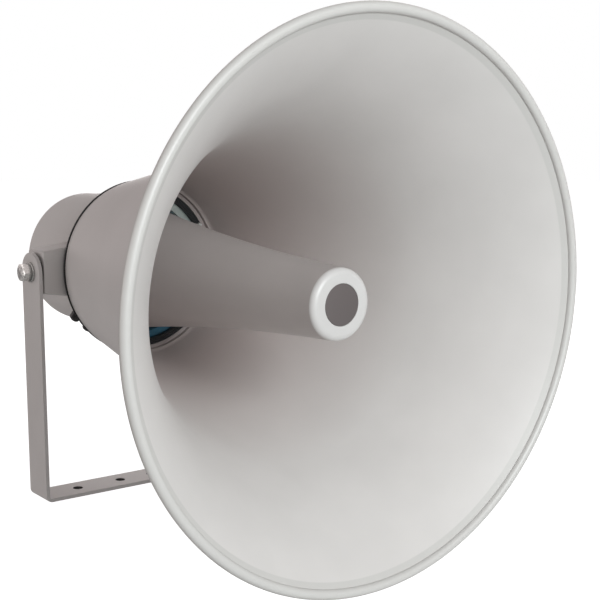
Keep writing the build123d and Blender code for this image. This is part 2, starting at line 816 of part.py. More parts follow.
bracket_height = pivot_height + strap_width / 2
strap_outside = Pos(0, bracket_height / 2) * Rectangle(bracket_width, bracket_height)
strap_outside = fillet(
    strap_outside.vertices().group_by(Axis.Y)[0], strap_bend_radius + strap_thickness
)
strap_inside = Pos(0, strap_thickness + bracket_height / 2) * Rectangle(
    bracket_width - 2 * strap_thickness, bracket_height
)
strap_inside = fillet(strap_inside.vertices().group_by(Axis.Y)[0], strap_bend_radius)
strap_section = strap_outside - strap_inside
folded_strap = extrude(Plane.XZ * strap_section, strap_width / 2, both=True)
arm_outline = Pos(0, pivot_height / 2) * Rectangle(strap_width, pivot_height)
arm_outline += Pos(0, pivot_height) * Circle(strap_width / 2)
mounting_bracket = folded_strap & extrude(Plane.YZ * arm_outline, bracket_width, both=True)
mounting_bracket -= Pos(0, 0, pivot_height) * Rot(0, 90, 0) * Cylinder(pivot_hole_radius, 2 * bracket_width)
for across in (-base_hole_outer, -base_hole_inner, base_hole_inner, base_hole_outer):
    mounting_bracket -= Pos(across, 0, 0) * Cylinder(base_hole_radius, 4 * strap_thickness)

# Place the horn on its pivots, mouth to the front, and write one file for each piece

horn_place = Location((0, -pivot_depth, pivot_height), (-90, 0, 0))
horn_pieces = {
    "horn_bell": horn_bell,
    "bell_gasket": bell_gasket,
    "rear_bowl": rear_bowl,
    "throat_tube": throat_tube,
    "reflector_cone": reflector_cone,
    "cone_cap": cone_cap,
    "cap_plate": cap_plate,
    "cap_screw": cap_screw,
    "cone_spider": cone_spider,
    "spider_screws": spider_screws,
    "driver_cover": driver_cover,
    "cover_screws": cover_screws,
    "cover_nuts": cover_nuts,
    "driver_plate": driver_plate,
    "phase_plug": phase_plug,
    "diaphragm": diaphragm,
    "voice_coil": voice_coil,
    "diaphragm_ring": diaphragm_ring,
    "top_plate": top_plate,
    "magnet": magnet,
    "back_plate": back_plate,
    "driver_screws": driver_screws,
    "transformer_core": transformer_core,
    "transformer_winding": transformer_winding,
    "transformer_frame": transformer_frame,
    "frame_screws": frame_screws,
    "terminal_block": terminal_block,
    "terminal_screws": terminal_screws,
    "gland_bodies": gland_bodies,
    "gland_nuts": gland_nuts,
    "gland_plugs": gland_plugs,
    "gland_locknuts": gland_locknuts,
    "pivot_bolts": pivot_bolts,
    "plain_washers": plain_washers,
    "spring_washers": spring_washers,
    "pivot_spacers": pivot_spacers,
}
os.makedirs("parts", exist_ok=True)
for node, piece in horn_pieces.items():
    solids = piece if isinstance(piece, list) else [piece]
    placed = [horn_place * solid for solid in solids]
    shape = placed[0] if len(placed) == 1 else Compound(children=placed)
    export_step(shape, "parts/" + node + ".step")
export_step(mounting_bracket, "parts/mounting_bracket.step")
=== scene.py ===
import math

import bmesh
import bpy
import numpy as np
from mathutils import Matrix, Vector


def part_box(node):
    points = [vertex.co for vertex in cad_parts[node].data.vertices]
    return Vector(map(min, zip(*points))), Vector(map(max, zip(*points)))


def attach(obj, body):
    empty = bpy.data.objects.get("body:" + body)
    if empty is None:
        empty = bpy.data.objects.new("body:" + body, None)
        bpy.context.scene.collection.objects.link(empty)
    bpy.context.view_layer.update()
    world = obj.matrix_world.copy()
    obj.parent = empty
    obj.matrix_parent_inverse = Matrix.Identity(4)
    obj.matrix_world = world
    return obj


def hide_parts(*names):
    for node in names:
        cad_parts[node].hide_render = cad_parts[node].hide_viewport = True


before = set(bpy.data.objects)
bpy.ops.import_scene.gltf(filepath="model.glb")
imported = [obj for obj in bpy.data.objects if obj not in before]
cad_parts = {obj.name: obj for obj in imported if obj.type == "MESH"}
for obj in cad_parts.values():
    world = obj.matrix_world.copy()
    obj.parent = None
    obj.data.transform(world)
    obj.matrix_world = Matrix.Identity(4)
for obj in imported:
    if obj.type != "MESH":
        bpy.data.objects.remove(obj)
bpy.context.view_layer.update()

# Bell. Spun aluminium sheet, rolled outwards into a bead at the rim, with a collar and an inward flange
# at the rear where it is screwed to the bowl. Powder coated light grey, in one piece.
MM = 0.001
rim_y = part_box("horn_bell")[0].y
axis_z = 245 * MM
rim_radius = 245 * MM
bell_length = 390 * MM
sheet = 1.5 * MM
bead_radius = 4.6 * MM
bead_lap = 0.2 * MM
throat_radius = 89.5 * MM
cone_rate = 0.165
flare_decay = 90 * MM
collar_radius = 92 * MM
collar_length = 6 * MM
joggle_length = 2.2 * MM
flange_bore = 80 * MM
flange_edge = 0.3 * MM
inner_bend = 1.2 * MM
outer_bend = 2.0 * MM
paint_grey = (0.630, 0.602, 0.588)
# Painted shade deep in the throat: a darker, warmer coat inside the bell.
throat_shade_grey = (0.50, 0.430, 0.415)
throat_depths = (120 * MM, 330 * MM)
# Painted shade on the rolled bead: a slightly darker coat near the rim.
bead_shade_grey = (0.556, 0.538, 0.521)
bead_depths = (8.6 * MM, 9.4 * MM)
# Painted shade on the bell's inner flange in the rear opening.
flange_shade_grey = (0.245, 0.205, 0.198)
flange_radii = (90.3 * MM, 91.1 * MM)


def shader(name, colour, roughness, metallic=0.0):
    """A new material with its Principled shader and its Object coordinates."""
    material = bpy.data.materials.new(name)
    material.use_nodes = True
    nodes = material.node_tree.nodes
    surface = nodes["Principled BSDF"]
    surface.inputs["Base Color"].default_value = (*colour, 1)
    surface.inputs["Roughness"].default_value = roughness
    surface.inputs["Metallic"].default_value = metallic
    place = nodes.new("ShaderNodeTexCoord").outputs["Object"]
    return material, surface, place


def link(material, start, end):
    """Joins two sockets of a material."""
    material.node_tree.links.new(start, end)


def noise(material, place, scale, detail=2.0):
    """A noise value at a scale in waves for each metre."""
    node = material.node_tree.nodes.new("ShaderNodeTexNoise")
    node.inputs["Scale"].default_value = scale
    node.inputs["Detail"].default_value = detail
    link(material, place, node.inputs["Vector"])
    return node.outputs["Fac"]


def spread(material, value, low, high, start=0.3, stop=0.7):
    """Maps a value that runs from start to stop onto low to high."""
    node = material.node_tree.nodes.new("ShaderNodeMapRange")
    node.inputs["From Min"].default_value = start
    node.inputs["From Max"].default_value = stop
    node.inputs["To Min"].default_value = low
    node.inputs["To Max"].default_value = high
    link(material, value, node.inputs["Value"])
    return node.outputs["Result"]


def mixed(material, value, first, second):
    """A colour between two by a value, each of them a plain colour or another node's."""
    node = material.node_tree.nodes.new("ShaderNodeMix")
    node.data_type = "RGBA"
    for name, shade in (("A", first), ("B", second)):
        if isinstance(shade, bpy.types.NodeSocket):
            link(material, shade, node.inputs[name])
        else:
            node.inputs[name].default_value = (*shade, 1)
    link(material, value, node.inputs["Factor"])
    return node.outputs["Result"]


def tinted(material, surface, value, dark, light):
    """Colours the surface between two shades by a value."""
    link(material, mixed(material, value, dark, light), surface.inputs["Base Color"])


def worked_out(material, operation, first, second=None, kind="ShaderNodeMath"):
    """One step of arithmetic on numbers, or on places where the kind is vector math. Gives its node."""
    node = material.node_tree.nodes.new(kind)
    node.operation = operation
    for socket, value in zip(node.inputs, (first, second)):
        if isinstance(value, bpy.types.NodeSocket):
            link(material, value, socket)
        elif value is not None:
            socket.default_value = value
    return node


def parted(material, place):
    """The X, Y and Z of a place, as three values."""
    node = material.node_tree.nodes.new("ShaderNodeSeparateXYZ")
    link(material, place, node.inputs["Vector"])
    return node.outputs


def bumped(material, surface, value, height, strength=1.0):
    """Raises the surface by a value, over any bump that it already has."""
    node = material.node_tree.nodes.new("ShaderNodeBump")
    node.inputs["Distance"].default_value = height
    node.inputs["Strength"].default_value = strength
    link(material, value, node.inputs["Height"])
    earlier = surface.inputs["Normal"].links
    if earlier:
        link(material, earlier[0].from_socket, node.inputs["Normal"])
    link(material, node.outputs["Normal"], surface.inputs["Normal"])


def powder_coat(name, colour, grain=0.00003, roughness=0.42):
    """Powder coat: a fine orange-peel grain, faint clouds of shade and an uneven gloss."""
    material, surface, place = shader(name, colour, roughness)
    clouds = noise(material, place, 14, 3)
    shades = np.array(colour)
    tinted(material, surface, spread(material, clouds, 0, 1), tuple(shades * 0.965), tuple(shades * 1.02))
    peel = noise(material, place, 900, 2)
    link(material, spread(material, peel, roughness - 0.04, roughness + 0.05), surface.inputs["Roughness"])
    bumped(material, surface, peel, grain)
    return material


def surface_mesh(name, points, close_rows=True, close_columns=True):
    """A mesh over a grid of points: each cell of four neighbours is one face, poles are merged."""
    rows, columns = points.shape[:2]
    row = np.arange(rows if close_rows else rows - 1)
    column = np.arange(columns if close_columns else columns - 1)
    i, j = np.meshgrid(row, column, indexing="ij")
    below = (i + 1) % rows
    beside = (j + 1) % columns
    cells = np.stack(
        [i * columns + j, i * columns + beside, below * columns + beside, below * columns + j], axis=-1
    )
    mesh = bpy.data.meshes.new(name)
    mesh.from_pydata(points.reshape(-1, 3).tolist(), [], cells.reshape(-1, 4).tolist())
    return mesh


def sealed(mesh, sharp=35):
    """Merges doubles, turns the faces outwards and shades smooth, with creases past an angle."""
    shape = bmesh.new()
    shape.from_mesh(mesh)
    bmesh.ops.remove_doubles(shape, verts=shape.verts, dist=0.002 * MM)
    bmesh.ops.dissolve_degenerate(shape, edges=shape.edges, dist=0.001 * MM)
    bmesh.ops.recalc_face_normals(shape, faces=shape.faces)
    shape.to_mesh(mesh)
    shape.free()
    mesh.shade_smooth()
    mesh.set_sharp_from_angle(angle=math.radians(sharp))
    return mesh


def joined(name, meshes):
    """One mesh out of several, each already sealed."""
    whole = bmesh.new()
    for mesh in meshes:
        whole.from_mesh(mesh)
    mesh = bpy.data.meshes.new(name)
    whole.to_mesh(mesh)
    whole.free()
    return mesh


def piece(name, mesh, material, body, slot, *nodes):
    """Puts a mesh into the scene as a finished piece that stands for some CAD nodes."""
    thing = bpy.data.objects.new(name, mesh)
    bpy.context.scene.collection.objects.link(thing)
    mesh.materials.clear()
    mesh.materials.append(material)
    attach(thing, body)
    if nodes:
        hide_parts(*nodes)
    return thing


def turned(name, profile, segments=288):
    """A profile of radius and depth turned about the horn's axis: x = r cos a, z = axis + r sin a."""
    turn = np.linspace(0, 2 * np.pi, segments, endpoint=False)
    radius, depth = np.asarray(profile).T
    x = radius[:, None] * np.cos(turn)
    y = np.repeat(rim_y + depth[:, None], segments, axis=1)
    z = axis_z + radius[:, None] * np.sin(turn)
    return surface_mesh(name, np.stack([x, y, z], axis=-1))


def arc(centre, radius, start, stop, count):
    """Points of an arc about a centre, from one angle to another in degrees."""
    angle = np.radians(np.linspace(start, stop, count))
    return np.stack([centre[0] + radius * np.cos(angle), centre[1] + radius * np.sin(angle)], axis=-1)


def rounded(corners, steps=5):
    """A closed outline of (x, y, radius) corners, each cut by an arc tangent to its two sides."""
    corners = np.array(corners, float)
    parts = []
    for before, here, after in zip(np.roll(corners, 1, 0), corners, np.roll(corners, -1, 0)):
        point = here[:2]
        if here[2] <= 0:
            parts.append(point[None])
            continue
        back = before[:2] - point
        ahead = after[:2] - point
        back = back / np.linalg.norm(back)
        ahead = ahead / np.linalg.norm(ahead)
        half = math.acos(np.clip(back @ ahead, -1, 1)) / 2
        reach = here[2] / math.tan(half)
        middle = point + (back + ahead) / np.linalg.norm(back + ahead) * here[2] / math.sin(half)
        first = point + back * reach - middle
        last = point + ahead * reach - middle
        share = np.linspace(0, 1, steps + 1)[:, None]
        blend = first * (1 - share) + last * share
        parts.append(middle + blend / np.linalg.norm(blend, axis=1)[:, None] * here[2])
    return np.concatenate(parts)


def dense(outline, longest):
    """The same closed outline with its long sides divided evenly."""
    outline = np.asarray(outline)
    after = np.roll(outline, -1, 0)
    parts = []
    for start, stop in zip(outline, after):
        count = max(1, int(np.ceil(np.linalg.norm(stop - start) / longest)))
        parts.append(start + (stop - start) * np.linspace(0, 1, count, endpoint=False)[:, None])
    return np.concatenate(parts)


def flare(depth):
    """Inner radius of the bell at a depth: a straight taper and an exponential flare."""
    join = rim_radius - 2 * bead_radius + bead_lap
    taper = cone_rate * (bell_length - bead_radius)
    gain = (join - throat_radius - taper) * math.exp(bead_radius / flare_decay)
    return throat_radius + cone_rate * (bell_length - depth) + gain * np.exp(-depth / flare_decay)


def flare_wall(depth, offset):
    """Points of the bell's wall at depths, moved square to it by an offset."""
    step = 0.1 * MM
    slope = (flare(depth + step) - flare(depth - step)) / (2 * step)
    size = np.hypot(1, slope)
    return np.stack([flare(depth) + offset / size, depth - offset * slope / size], axis=-1)


flare_rear = bell_length - collar_length - joggle_length
flare_depths = bead_radius + (flare_rear - bead_radius) * np.linspace(0, 1, 96) ** 1.3
collar_front = bell_length - collar_length
collar_bore = collar_radius - sheet
flange_front = bell_length - sheet
bead_centre = np.array([rim_radius - bead_radius, bead_radius])
curl_start, curl_stop = 176, 500
curl_tip = math.radians(curl_stop)
tip_centre = bead_centre + (bead_radius - sheet / 2) * np.array([math.cos(curl_tip), math.sin(curl_tip)])
curl_end = arc(tip_centre, sheet / 2, curl_stop - 360, curl_stop - 180, 7)[1:-1]
rear_collar = np.array(
    [
        (collar_bore, collar_front),
        (collar_bore, flange_front - inner_bend),
        (collar_bore - inner_bend / 3, flange_front - inner_bend / 3),
        (collar_bore - inner_bend, flange_front),
        (flange_bore + flange_edge, flange_front),
        (flange_bore, bell_length - sheet / 2),
        (flange_bore + flange_edge, bell_length),
        (collar_radius - outer_bend, bell_length),
        (collar_radius - 0.3 * outer_bend, bell_length - 0.3 * outer_bend),
        (collar_radius, bell_length - outer_bend),
    ]
)
channel_steps = np.array([(0.1, 2.5), (0.75, 3.4), (0.85, 5.0), (0.75, 6.9)]) * MM
channel = np.array([collar_radius, bell_length]) - channel_steps
bell_profile = np.concatenate(
    [
        flare_wall(flare_depths, 0)[::-1],
        arc(bead_centre, bead_radius, curl_start, curl_stop, 64),
        curl_end,
        arc(bead_centre, bead_radius - sheet, curl_stop, curl_start + 20, 40),
        flare_wall(flare_depths, sheet)[1:],
        channel[::-1],
        rear_collar[::-1],
    ]
)
bell_mesh = sealed(turned("bell", bell_profile), 28)
bell_paint = powder_coat("spun_bell_powder_coat", paint_grey)
bell_surface = bell_paint.node_tree.nodes["Principled BSDF"]
bell_coordinates = bell_paint.node_tree.nodes["Texture Coordinate"]
bell_place = bell_coordinates.outputs["Object"]
spin_lines = bell_paint.node_tree.nodes.new("ShaderNodeTexWave")
spin_lines.wave_type = "BANDS"
spin_lines.bands_direction = "Y"
spin_lines.inputs["Scale"].default_value = 45
spin_lines.inputs["Distortion"].default_value = 1.2
link(bell_paint, bell_place, spin_lines.inputs["Vector"])
bumped(bell_paint, bell_surface, spin_lines.outputs["Fac"], 0.00002, 0.5)

# Painted shade: the coat inside is painted darker and warmer towards the throat, where shade falls. The
# bead is painted a little darker, and the flange inside the rear opening is painted dark, both as painted
# shade.
vector_kind = "ShaderNodeVectorMath"
flange_centre = (0, rim_y + bell_length, axis_z)
from_flange = worked_out(bell_paint, "SUBTRACT", bell_place, flange_centre, vector_kind).outputs["Vector"]
facing = worked_out(bell_paint, "DOT_PRODUCT", from_flange, bell_coordinates.outputs["Normal"], vector_kind)
inner_side = spread(bell_paint, facing.outputs["Value"], 1, 0, -0.02, 0.02)
bell_depth = parted(bell_paint, bell_place)["Y"]
deep = spread(bell_paint, bell_depth, 0, 1, rim_y + throat_depths[0], rim_y + throat_depths[1])
throat_shade_share = worked_out(bell_paint, "MULTIPLY", inner_side, deep).outputs["Value"]
bead_shade_share = spread(bell_paint, bell_depth, 1, 0, rim_y + bead_depths[0], rim_y + bead_depths[1])
flange_reach = worked_out(bell_paint, "DISTANCE", bell_place, flange_centre, vector_kind).outputs["Value"]
past_flange = spread(bell_paint, flange_reach, 0, 1, *flange_radii)
bell_coat = bell_surface.inputs["Base Color"].links[0].from_socket
bell_coat = mixed(bell_paint, throat_shade_share, bell_coat, throat_shade_grey)
bell_coat = mixed(bell_paint, bead_shade_share, bell_coat, bead_shade_grey)
bell_coat = mixed(bell_paint, past_flange, flange_shade_grey, bell_coat)
link(bell_paint, bell_coat, bell_surface.inputs["Base Color"])
piece("bell", bell_mesh, bell_paint, "horn", "grey_aluminium", "horn_bell")

# Gasket. A black rubber ring squeezed between the bell's flange and the bowl. A round lip of it stands out
# all round behind the bell, and a ribbed lip wraps the flange's inner edge inside the bell.
gasket_low, gasket_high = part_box("bell_gasket")
gasket_front = gasket_low.y - rim_y
gasket_rear = gasket_high.y - rim_y
gasket_proud = 0.6 * MM
gasket_radius = collar_radius + gasket_proud
gasket_edge = 0.9 * MM
lip_inner = flange_bore - 1.0 * MM
lip_outer = 86.2 * MM
lip_front = flange_front - 1.5 * MM
rib_count = 3
rib_height = 0.5 * MM
rubber_black = (0.010, 0.010, 0.011)


def rubber(name, colour):
    """Moulded rubber: matt, with a faint bloom and a fine grain."""
    material, surface, place = shader(name, colour, 0.62)
    bloom = noise(material, place, 60, 3)
    tinted(material, surface, spread(material, bloom, 0, 1), colour, tuple(np.array(colour) * 1.8))
    bumped(material, surface, noise(material, place, 1500), 0.00002)
    return material


gasket_material = rubber("gasket_rubber", rubber_black)
rib_share = np.linspace(0, 1, rib_count * 10 + 1)
ribbed_lip = np.stack(
    [
        lip_inner + (lip_outer - lip_inner) * rib_share,
        lip_front + rib_height * (1 + np.cos(2 * np.pi * rib_count * rib_share)),
    ],
    axis=-1,
)
gasket_profile = np.concatenate(
    [
        ribbed_lip,
        [
            (lip_outer, flange_front),
            (flange_bore, flange_front),
            (flange_bore, gasket_front),
            (gasket_radius - gasket_proud, gasket_front),
        ],
        arc((gasket_radius - gasket_edge, gasket_front + gasket_edge), gasket_edge, -80, 0, 7),
        arc((gasket_radius - gasket_edge, gasket_rear - gasket_edge), gasket_edge, 0, 90, 7),
        [(lip_inner, gasket_rear)],
    ]
)
piece(
    "gasket",
    sealed(turned("gasket", gasket_profile, 240)),
    gasket_material,
    "horn",
    "black_rubber",
    "bell_gasket",
)

# Cone. A hollow cone of spun aluminium sheet that turns the sound back, open at its rear. It is held by the
# spider behind it and powder coated like the bell, in a darker and warmer colour that is painted shade for
# the shade it sits in inside the bell.
cone_front = 60 * MM
cone_rear = 372 * MM
cone_front_radius = 32 * MM
cone_middle = (41.5 * MM, 200 * MM)
cone_rear_radius = 63 * MM
# Painted shade: the cone's coat is darker and warmer than the bell's.
cone_shade_grey = (0.440, 0.400, 0.390)


def arc_through(first, second, third, count):
    """Points of the circle through three points, from the first to the third."""
    (ax, ay), (bx, by), (cx, cy) = first, second, third
    twice = 2 * (ax * (by - cy) + bx * (cy - ay) + cx * (ay - by))
    a2, b2, c2 = ax * ax + ay * ay, bx * bx + by * by, cx * cx + cy * cy
    centre = np.array(
        [
            (a2 * (by - cy) + b2 * (cy - ay) + c2 * (ay - by)) / twice,
            (a2 * (cx - bx) + b2 * (ax - cx) + c2 * (bx - ax)) / twice,
        ]
    )
    spokes = np.array([first, second, third]) - centre
    angles = np.unwrap(np.arctan2(spokes[:, 1], spokes[:, 0]))
    return arc(centre, np.hypot(*spokes[0]), *np.degrees(angles[[0, 2]]), count)


def cone_wall(offset):
    """The cone's outline moved inwards by an offset."""
    return arc_through(
        (cone_front_radius - offset, cone_front),
        (cone_middle[0] - offset, cone_middle[1]),
        (cone_rear_radius - offset, cone_rear),
        90,
    )


cone_edge = arc((cone_rear_radius - sheet / 2, cone_rear), sheet / 2, 0, 180, 8)[1:-1]
cone_profile = np.concatenate([cone_wall(0), cone_edge, cone_wall(sheet)[::-1]])
cone_paint = powder_coat("cone_powder_coat", cone_shade_grey)
piece(
    "cone",
    sealed(turned("cone", cone_profile, 240), 28),
    cone_paint,
    "horn",
    "grey_aluminium",
    "reflector_cone",
)

# Cap. A ring moulded in white plastic, with a rounded shoulder and a shallow recess for the plate. It is
# pressed into the cone's front and held by one screw in its hub.
cap_front = 54.5 * MM
cap_seat = 56 * MM
cap_flat = 26 * MM
cap_plug = 30.4 * MM
cap_plug_bore = 28.2 * MM
cap_plug_end = 68 * MM
cap_web = 62 * MM
cap_web_radius = 26 * MM
cap_hub = 9 * MM
cap_hub_end = 70 * MM
screw_bore = 3.05 * MM
screw_head_bore = 5.1 * MM
screw_head_seat = 60.5 * MM
cap_seam = 0.2 * MM
recess_radius = 0.35 * MM
plate_radius = 18.4 * MM
plate_hole = 18.6 * MM
white_plastic = (0.575, 0.555, 0.547)


def moulded(name, colour, roughness=0.38):
    """Moulded plastic: an even colour with a very fine grain and a soft uneven gloss."""
    material, surface, place = shader(name, colour, roughness)
    clouds = noise(material, place, 40, 2)
    shade = np.array(colour)
    tinted(material, surface, spread(material, clouds, 0, 1), tuple(shade * 0.975), tuple(shade * 1.01))
    grain = noise(material, place, 2200)
    link(material, spread(material, grain, roughness - 0.05, roughness + 0.06), surface.inputs["Roughness"])
    bumped(material, surface, grain, 0.00001)
    return material


shoulder_share = np.radians(np.linspace(0, 90, 24))
shoulder = np.stack(
    [
        cap_flat + (cone_front_radius - cap_flat) * np.sin(shoulder_share),
        cone_front - (cone_front - cap_front) * np.cos(shoulder_share),
    ],
    axis=-1,
)
cap_inside = np.array(
    [
        (cone_front_radius, cone_front + cap_seam),
        (cap_plug, cone_front + cap_seam),
        (cap_plug, cap_plug_end),
        (cap_plug_bore, cap_plug_end),
        (cap_web_radius, cap_web),
        (cap_hub, cap_web),
        (cap_hub, cap_hub_end),
        (screw_bore, cap_hub_end),
        (screw_bore, screw_head_seat),
        (screw_head_bore, screw_head_seat),
        (screw_head_bore, cap_seat),
        (plate_hole, cap_seat),
    ]
)
recess_centre = (plate_hole + recess_radius, cap_front + recess_radius)
recess_edge = arc(recess_centre, recess_radius, 180, 270, 6)
cap_profile = np.concatenate([shoulder, cap_inside, recess_edge])
cap_material = moulded("white_cap_plastic", white_plastic)
piece("cap", sealed(turned("cap", cap_profile, 200), 30), cap_material, "horn", "white_plastic", "cone_cap")

# Plate. A round plate stamped from grey anodised aluminium, bare, with a fine matt face. It is glued into
# the cap's recess over the screw.
plate_front = 54.8 * MM
plate_profile = rounded(
    [
        (0, plate_front, 0),
        (plate_radius, plate_front, 0.25 * MM),
        (plate_radius, cap_seat, 0),
        (0, cap_seat, 0),
    ]
)
plate_material, plate_surface, plate_place = shader("grey_plate", (0.125, 0.106, 0.105), 0.45, 0.25)
plate_grain = noise(plate_material, plate_place, 1800, 3)
tinted(
    plate_material,
    plate_surface,
    spread(plate_material, plate_grain, 0, 1),
    (0.113, 0.097, 0.096),
    (0.138, 0.118, 0.117),
)
bumped(plate_material, plate_surface, plate_grain, 0.00001)
piece(
    "plate",
    sealed(turned("plate", plate_profile, 160), 30),
    plate_material,
    "horn",
    "plate_aluminium",
    "cap_plate",
)

# Cover. An aluminium can cast in one piece with its flange and a tapered trunnion block each side, into
# which the pivot bolts screw. It is powder coated like the bell and bolted over the driver.
cover_low, cover_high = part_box("driver_cover")
cover_front = cover_low.y - rim_y
cover_rear = cover_high.y - rim_y
cover_front_radius = 77 * MM
cover_rear_radius = 72.5 * MM
cover_wall = 3.5 * MM
cover_corner = 9 * MM
cover_inner_corner = 5.5 * MM
cover_back = 4 * MM
flange_radius = 86.5 * MM
flange_thickness = 4 * MM
pivot_depth = 412 * MM
boss_reach = cover_high.x
boss_root = 69 * MM
boss_root_height = 56 * MM
boss_end_height = 44 * MM
boss_depth = 2 * (pivot_depth - cover_front)
boss_corner = 2.5 * MM
boss_edge = 0.8 * MM
gland_depth = 434 * MM
gland_angles = (-137, -123)
pad_root = 66 * MM
pad_top = 76.6 * MM
pad_radius = 7.2 * MM

cover_corners = [
    (cover_front_radius - cover_wall, cover_front, 0.4 * MM),
    (flange_radius, cover_front, 0.5 * MM),
    (flange_radius, cover_front + flange_thickness, 0.8 * MM),
    (cover_front_radius, cover_front + flange_thickness, 1.5 * MM),
    (cover_rear_radius, cover_rear, cover_corner),
    (0, cover_rear, 0),
    (0, cover_rear - cover_back, 0),
    (cover_rear_radius - cover_wall, cover_rear - cover_back, cover_inner_corner),
]
cover_profile = dense(rounded(cover_corners, 12), 6 * MM)
cover_can = sealed(turned("cover_can", cover_profile, 240), 30)


def trunnion(side):
    """A block lofted from a tall root to a lower end: each section is a rounded rectangle."""
    corner = rounded(
        [
            (boss_depth / 2, boss_root_height / 2, boss_corner),
            (-boss_depth / 2, boss_root_height / 2, boss_corner),
            (-boss_depth / 2, -boss_root_height / 2, boss_corner),
            (boss_depth / 2, -boss_root_height / 2, boss_corner),
        ],
        6,
    )
    share = np.linspace(0, 1, 12)[:, None]
    reach = boss_root + (boss_reach - boss_root) * share
    height = boss_root_height + (boss_end_height - boss_root_height) * share
    bevel = np.radians(np.linspace(0, 90, 5))[1:, None]
    cut_back = boss_edge * (1 - np.cos(bevel))
    reach = np.concatenate([reach[:-1], boss_reach - boss_edge + boss_edge * np.sin(bevel)])
    height = np.concatenate([height[:-1], boss_end_height - 2 * cut_back])
    shrink = np.concatenate([np.zeros((len(share) - 1, 1)), cut_back])
    across = corner[:, 0] * (1 - 2 * shrink / boss_depth)
    up = corner[:, 1] * height / boss_root_height
    along = side * np.broadcast_to(reach, up.shape)
    points = np.stack([along, rim_y + pivot_depth + across, axis_z + up], axis=-1)
    middle = (rim_y + pivot_depth, axis_z)
    end = points[-1:].copy()
    end[..., 1:] = middle
    root = points[:1].copy()
    root[..., 1:] = middle
    return sealed(surface_mesh("trunnion", np.concatenate([root, points, end]), close_rows=False), 30)


def radial(points, angle, depth):
    """Moves points drawn about their own Z so that Z points straight out from the horn's axis."""
    out = np.array([math.cos(math.radians(angle)), 0, math.sin(math.radians(angle))])
    along = np.array([0, 1.0, 0])
    across = np.cross(along, out)
    x, y, z = np.moveaxis(points, -1, 0)
    origin = np.array([0, rim_y + depth, axis_z])
    return origin + x[..., None] * across + y[..., None] * along + z[..., None] * out


def upright(profile, segments=64):
    """A profile of radius and height turned about Z, as a grid of points."""
    turn = np.linspace(0, 2 * np.pi, segments, endpoint=False)
    radius, height = np.asarray(profile).T
    return np.stack(
        [
            radius[:, None] * np.cos(turn),
            radius[:, None] * np.sin(turn),
            np.repeat(height[:, None], segments, axis=1),
        ],
        axis=-1,
    )


def spigot(name, profile, angle, depth, segments=64, sharp=35):
    """A profile turned about its own axis, which points straight out from the horn at an angle."""
    return sealed(surface_mesh(name, radial(upright(profile, segments), angle, depth)), sharp)


pad_profile = rounded(
    [(0, pad_root, 0), (pad_radius, pad_root, 0), (pad_radius, pad_top, 0.6 * MM), (0, pad_top, 0)]
)
pads = [spigot("pad", pad_profile, angle, gland_depth) for angle in gland_angles]
cover_paint = powder_coat("cast_cover_powder_coat", paint_grey, 0.00005, 0.46)
piece(
    "cover",
    joined("cover", [cover_can, trunnion(1), trunnion(-1), *pads]),
    cover_paint,
    "horn",
    "grey_aluminium",
    "driver_cover",
)

# Bracket. One steel strap, folded square into a U with rounded arm ends, drilled, then powder coated. The
# coat rounds its cut edges slightly. The walls of the base's holes are painted near-black as painted shade,
# where shade falls inside them.
strap = 4 * MM
strap_edge = 0.5 * MM
# Painted shade for the walls of the base's holes.
hole_shade_dark = (0.028, 0.024, 0.023)
hole_field = {"X": 108 * MM, "Y": 16 * MM}
hole_wall = 1.5 * MM
bracket_grey = tuple(np.array(paint_grey) * 0.98)
bracket_paint = powder_coat("bracket_powder_coat", bracket_grey, 0.00005, 0.45)


def softened(node, width):
    """A copy of a CAD node's mesh with its doubles merged and its sharp edges rounded a little."""
    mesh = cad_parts[node].data.copy()
    shape = bmesh.new()
    shape.from_mesh(mesh)
    bmesh.ops.remove_doubles(shape, verts=shape.verts, dist=0.001 * MM)
    bmesh.ops.dissolve_limit(
        shape,
        angle_limit=math.radians(0.5),
        verts=shape.verts,
        edges=shape.edges,
        use_dissolve_boundaries=False,
    )
    crisp = [edge for edge in shape.edges if edge.is_manifold and edge.calc_face_angle() > math.radians(40)]
    bmesh.ops.bevel(
        shape, geom=crisp, offset=width, segments=2, profile=0.5, affect="EDGES", clamp_overlap=True
    )
    shape.to_mesh(mesh)
    shape.free()
    mesh.shade_smooth()
    mesh.set_sharp_from_angle(angle=math.radians(35))
    return mesh


bracket_surface = bracket_paint.node_tree.nodes["Principled BSDF"]
bracket_place = bracket_paint.node_tree.nodes["Texture Coordinate"].outputs["Object"]
bracket_coat = bracket_surface.inputs["Base Color"].links[0].from_socket
# Painted shade: a mask that keeps the coat everywhere except on the walls of the base's holes.
from_base = worked_out(bracket_paint, "SUBTRACT", bracket_place, (0, 0, strap / 2), vector_kind)
away = worked_out(bracket_paint, "ABSOLUTE", from_base.outputs["Vector"], kind=vector_kind)
reach = parted(bracket_paint, away.outputs["Vector"])
outside_hole_shade = spread(bracket_paint, reach["Z"], 0, 1, hole_wall, hole_wall + 0.2 * MM)
for axis, edge in hole_field.items():
    beyond = spread(bracket_paint, reach[axis], 0, 1, edge, edge + 1 * MM)
    outside_hole_shade = worked_out(bracket_paint, "MAXIMUM", outside_hole_shade, beyond).outputs["Value"]
bracket_coat = mixed(bracket_paint, outside_hole_shade, hole_shade_dark, bracket_coat)
link(bracket_paint, bracket_coat, bracket_surface.inputs["Base Color"])
bracket = piece(
    "bracket",
    softened("mounting_bracket", strap_edge),
    bracket_paint,
    "bracket",
    "bracket_paint",
    "mounting_bracket",
)
flat_faces = bracket.modifiers.new("flat_faces", "WEIGHTED_NORMAL")
flat_faces.keep_sharp = True
flat_faces.weight = 100

